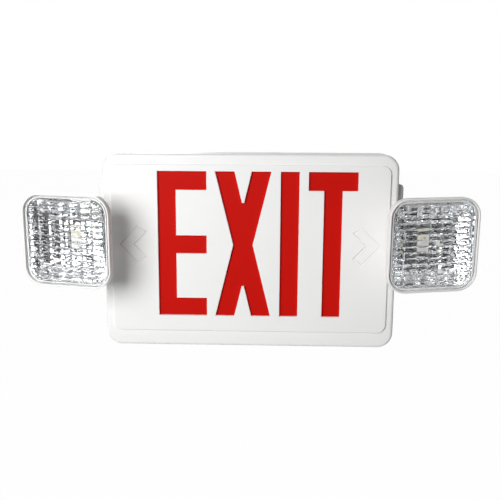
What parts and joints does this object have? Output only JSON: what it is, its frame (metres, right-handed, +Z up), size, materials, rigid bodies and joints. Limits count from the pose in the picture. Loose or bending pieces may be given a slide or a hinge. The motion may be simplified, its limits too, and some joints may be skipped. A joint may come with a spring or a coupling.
{
  "type": "emergency exit light",
  "caption": "Wall-mounted emergency exit light: white moulded case with a red lit exit legend and square lamp heads at its sides that tilt and pan.",
  "frame": {"origin": "centre of the wire entry, in the back face that lies on the wall", "axes": "+X to the right seen from the front, +Y into the wall, so the front faces -Y, +Z up"},
  "size_m": [0.4547, 0.0957, 0.2055],
  "materials": {
    "white_plastic": "satin",
    "diffuser_red": "satin",
    "strip_board": "satin",
    "led_yellow": "gloss",
    "board_green": "satin",
    "plated_steel": "satin",
    "relay_case": "satin",
    "capacitor_sleeve": "satin",
    "terminal_plastic": "matte",
    "transformer_core": "satin",
    "battery_wrap": "satin",
    "strap_steel": "satin",
    "switch_black": "matte",
    "button_red": "gloss",
    "status_green": "gloss",
    "washer_rubber": "matte",
    "reflector_plating": "gloss",
    "clear_lens": "gloss"
  },
  "bodies": {
    "case": {"back_housing": "white_plastic", "face_plate": "white_plastic", "red_diffuser": "diffuser_red", "upper_strip": "strip_board", "upper_strip_leds": "led_yellow", "lower_strip": "strip_board", "lower_strip_leds": "led_yellow", "circuit_board": "board_green", "board_screws": "plated_steel", "relay": "relay_case", "capacitors": "capacitor_sleeve", "terminal_block": "terminal_plastic", "transformer": "transformer_core", "transformer_screws": "plated_steel", "battery_pack": "battery_wrap", "battery_strap": "strap_steel", "strap_screws": "plated_steel", "test_board": "board_green", "test_switch": "switch_black", "charge_light": "status_green"},
    "button": {"test_button": "button_red"},
    "left_arm": {"left_swivel_arm": "white_plastic", "left_friction_washer": "washer_rubber", "left_retaining_ring": "plated_steel"},
    "left_head": {"left_head_shell": "white_plastic", "left_reflector": "reflector_plating", "left_lamp_board": "strip_board", "left_lamp_leds": "led_yellow", "left_lens": "clear_lens", "left_hinge_screw": "plated_steel", "left_hinge_nut": "plated_steel"},
    "right_arm": {"right_swivel_arm": "white_plastic", "right_friction_washer": "washer_rubber", "right_retaining_ring": "plated_steel"},
    "right_head": {"right_head_shell": "white_plastic", "right_reflector": "reflector_plating", "right_lamp_board": "strip_board", "right_lamp_leds": "led_yellow", "right_lens": "clear_lens", "right_hinge_screw": "plated_steel", "right_hinge_nut": "plated_steel"}
  },
  "joints": [
    {"name": "left_tilt", "type": "hinge", "parent": "case", "child": "left_arm", "pos_m": [0, -0.015, 0.0183], "axis": [1, 0, 0], "range_deg": [-21.4, 18.6]},
    {"name": "left_pan", "type": "hinge", "parent": "left_arm", "child": "left_head", "pos_m": [-0.1705, -0.03399, 0.01784], "axis": [0, 0.0244, -0.9997], "range_deg": [-11.9, 33]},
    {"name": "right_tilt", "type": "hinge", "parent": "case", "child": "right_arm", "pos_m": [0, -0.015, 0.0183], "axis": [1, 0, 0], "range_deg": [-21.8, 18.2]},
    {"name": "right_pan", "type": "hinge", "parent": "right_arm", "child": "right_head", "pos_m": [0.1705, -0.03399, 0.0177], "axis": [0, -0.0314, 0.9995], "range_deg": [-12.6, 32]},
    {"name": "test_press", "type": "slide", "parent": "case", "child": "button", "axis": [0, 0, 1], "range_m": [0, 0.001], "stiffness_N_per_m": 1200, "springref_m": -0.0005}
  ]
}
